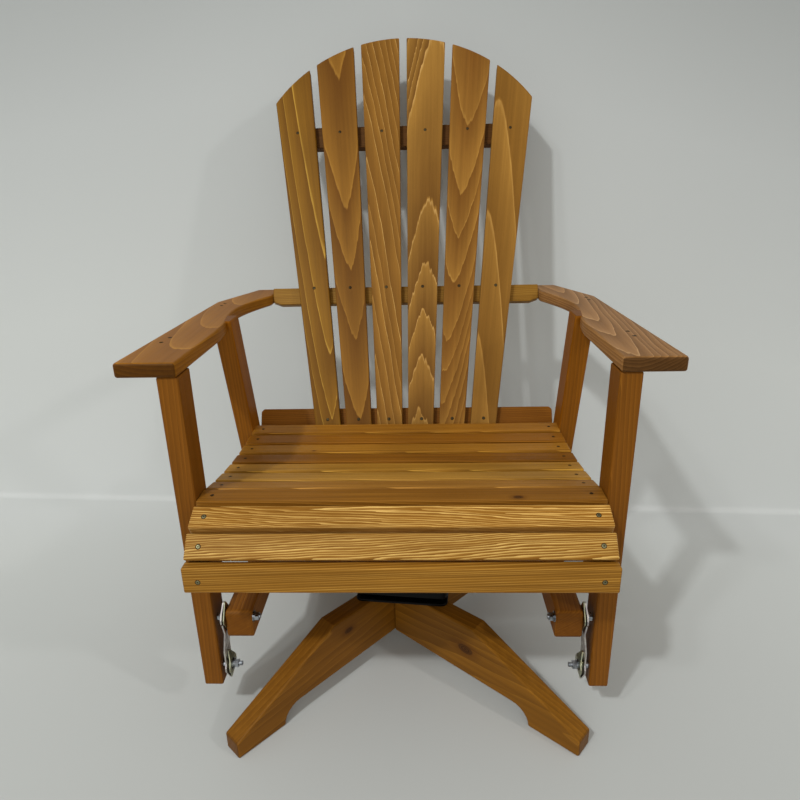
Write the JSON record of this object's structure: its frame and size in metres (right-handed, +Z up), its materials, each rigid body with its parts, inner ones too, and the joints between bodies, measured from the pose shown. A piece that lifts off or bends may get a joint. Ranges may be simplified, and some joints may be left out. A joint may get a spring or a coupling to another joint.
{
  "type": "swivel glider chair",
  "caption": "Fan-back wooden armchair that glides on hanging links and swivels on a low pinwheel base.",
  "frame": {"origin": "on the floor, at the centre of the chair's overall box, glider at mid-stroke", "axes": "+Z up, the chair faces -Y, +X to the right for someone looking at its front"},
  "size_m": [0.824, 0.9208, 1.2226],
  "materials": {
    "base_leg_front_left": "satin stained cedar",
    "base_leg_front_right": "satin stained cedar",
    "base_leg_rear_right": "satin stained cedar",
    "base_leg_rear_left": "satin stained cedar",
    "swivel_lower_plate": "satin black",
    "swivel_race": "satin black",
    "swivel_upper_plate": "satin black",
    "cross_member_front": "satin stained cedar",
    "cross_member_rear": "satin stained cedar",
    "glider_rail_left": "satin stained cedar",
    "glider_rail_right": "satin stained cedar",
    "top_pivot_front_left": "zinc plated",
    "top_pivot_front_right": "zinc plated",
    "top_pivot_rear_left": "zinc plated",
    "top_pivot_rear_right": "zinc plated",
    "link_front_left": "zinc plated",
    "top_bearing_front_left": "zinc plated",
    "bottom_bearing_front_left": "zinc plated",
    "link_front_right": "zinc plated",
    "top_bearing_front_right": "zinc plated",
    "bottom_bearing_front_right": "zinc plated",
    "link_rear_left": "zinc plated",
    "top_bearing_rear_left": "zinc plated",
    "bottom_bearing_rear_left": "zinc plated",
    "link_rear_right": "zinc plated",
    "top_bearing_rear_right": "zinc plated",
    "bottom_bearing_rear_right": "zinc plated",
    "leg_front_left": "satin stained cedar",
    "leg_front_right": "satin stained cedar",
    "leg_rear_left": "satin stained cedar",
    "leg_rear_right": "satin stained cedar",
    "arm_left": "satin stained cedar",
    "arm_right": "satin stained cedar",
    "seat_side_left": "satin stained cedar",
    "seat_side_right": "satin stained cedar",
    "seat_apron": "satin stained cedar",
    "seat_slat_01": "satin stained cedar",
    "seat_slat_02": "satin stained cedar",
    "seat_slat_03": "satin stained cedar",
    "seat_slat_04": "satin stained cedar",
    "seat_slat_05": "satin stained cedar",
    "seat_slat_06": "satin stained cedar",
    "seat_slat_07": "satin stained cedar",
    "seat_slat_08": "satin stained cedar",
    "seat_slat_09": "satin stained cedar",
    "seat_slat_10": "satin stained cedar",
    "back_slat_1": "satin stained cedar",
    "back_slat_2": "satin stained cedar",
    "back_slat_3": "satin stained cedar",
    "back_slat_4": "satin stained cedar",
    "back_slat_5": "satin stained cedar",
    "back_slat_6": "satin stained cedar",
    "back_rail_top": "satin stained cedar",
    "back_rail_arm": "satin stained cedar",
    "back_rail_seat": "satin stained cedar",
    "bottom_pivot_front_left": "zinc plated",
    "bottom_pivot_front_right": "zinc plated",
    "bottom_pivot_rear_left": "zinc plated",
    "bottom_pivot_rear_right": "zinc plated"
  },
  "bodies": {
    "base": {"base_leg_front_left": "base_leg_front_left", "base_leg_front_right": "base_leg_front_right", "base_leg_rear_right": "base_leg_rear_right", "base_leg_rear_left": "base_leg_rear_left", "swivel_lower_plate": "swivel_lower_plate", "swivel_race": "swivel_race"},
    "glider_frame": {"swivel_upper_plate": "swivel_upper_plate", "cross_member_front": "cross_member_front", "cross_member_rear": "cross_member_rear", "glider_rail_left": "glider_rail_left", "glider_rail_right": "glider_rail_right", "top_pivot_front_left": "top_pivot_front_left", "top_pivot_front_right": "top_pivot_front_right", "top_pivot_rear_left": "top_pivot_rear_left", "top_pivot_rear_right": "top_pivot_rear_right"},
    "link_front_left": {"link_front_left": "link_front_left", "top_bearing_front_left": "top_bearing_front_left", "bottom_bearing_front_left": "bottom_bearing_front_left"},
    "link_front_right": {"link_front_right": "link_front_right", "top_bearing_front_right": "top_bearing_front_right", "bottom_bearing_front_right": "bottom_bearing_front_right"},
    "link_rear_left": {"link_rear_left": "link_rear_left", "top_bearing_rear_left": "top_bearing_rear_left", "bottom_bearing_rear_left": "bottom_bearing_rear_left"},
    "link_rear_right": {"link_rear_right": "link_rear_right", "top_bearing_rear_right": "top_bearing_rear_right", "bottom_bearing_rear_right": "bottom_bearing_rear_right"},
    "chair": {"leg_front_left": "leg_front_left", "leg_front_right": "leg_front_right", "leg_rear_left": "leg_rear_left", "leg_rear_right": "leg_rear_right", "arm_left": "arm_left", "arm_right": "arm_right", "seat_side_left": "seat_side_left", "seat_side_right": "seat_side_right", "seat_apron": "seat_apron", "seat_slat_01": "seat_slat_01", "seat_slat_02": "seat_slat_02", "seat_slat_03": "seat_slat_03", "seat_slat_04": "seat_slat_04", "seat_slat_05": "seat_slat_05", "seat_slat_06": "seat_slat_06", "seat_slat_07": "seat_slat_07", "seat_slat_08": "seat_slat_08", "seat_slat_09": "seat_slat_09", "seat_slat_10": "seat_slat_10", "back_slat_1": "back_slat_1", "back_slat_2": "back_slat_2", "back_slat_3": "back_slat_3", "back_slat_4": "back_slat_4", "back_slat_5": "back_slat_5", "back_slat_6": "back_slat_6", "back_rail_top": "back_rail_top", "back_rail_arm": "back_rail_arm", "back_rail_seat": "back_rail_seat", "bottom_pivot_front_left": "bottom_pivot_front_left", "bottom_pivot_front_right": "bottom_pivot_front_right", "bottom_pivot_rear_left": "bottom_pivot_rear_left", "bottom_pivot_rear_right": "bottom_pivot_rear_right"}
  },
  "joints": [
    {"name": "swivel", "type": "hinge", "parent": "base", "child": "glider_frame", "pos_m": [0, -0.15094, 0.1777], "axis": [0, 0, 1], "continuous": true},
    {"name": "glide_front_left", "type": "hinge", "parent": "glider_frame", "child": "link_front_left", "pos_m": [-0.306, -0.35694, 0.215], "axis": [1, 0, 0], "range_deg": [-22, 22]},
    {"name": "glide_front_right", "type": "hinge", "parent": "glider_frame", "child": "link_front_right", "pos_m": [0.306, -0.35694, 0.215], "axis": [1, 0, 0], "range_deg": [-22, 22]},
    {"name": "glide_rear_left", "type": "hinge", "parent": "glider_frame", "child": "link_rear_left", "pos_m": [-0.306, 0.0783, 0.215], "axis": [1, 0, 0], "range_deg": [-22, 22]},
    {"name": "glide_rear_right", "type": "hinge", "parent": "glider_frame", "child": "link_rear_right", "pos_m": [0.306, 0.0783, 0.215], "axis": [1, 0, 0], "range_deg": [-22, 22]},
    {"name": "chair_hang", "type": "hinge", "parent": "link_front_left", "child": "chair", "pos_m": [-0.306, -0.35694, 0.114], "axis": [1, 0, 0], "range_deg": [-22, 22]}
  ],
  "couplings": [
    {"joint": "glide_front_right", "follows": "glide_front_left", "ratio": 1},
    {"joint": "glide_rear_left", "follows": "glide_front_left", "ratio": 1},
    {"joint": "glide_rear_right", "follows": "glide_front_left", "ratio": 1},
    {"joint": "chair_hang", "follows": "glide_front_left", "ratio": -1}
  ]
}
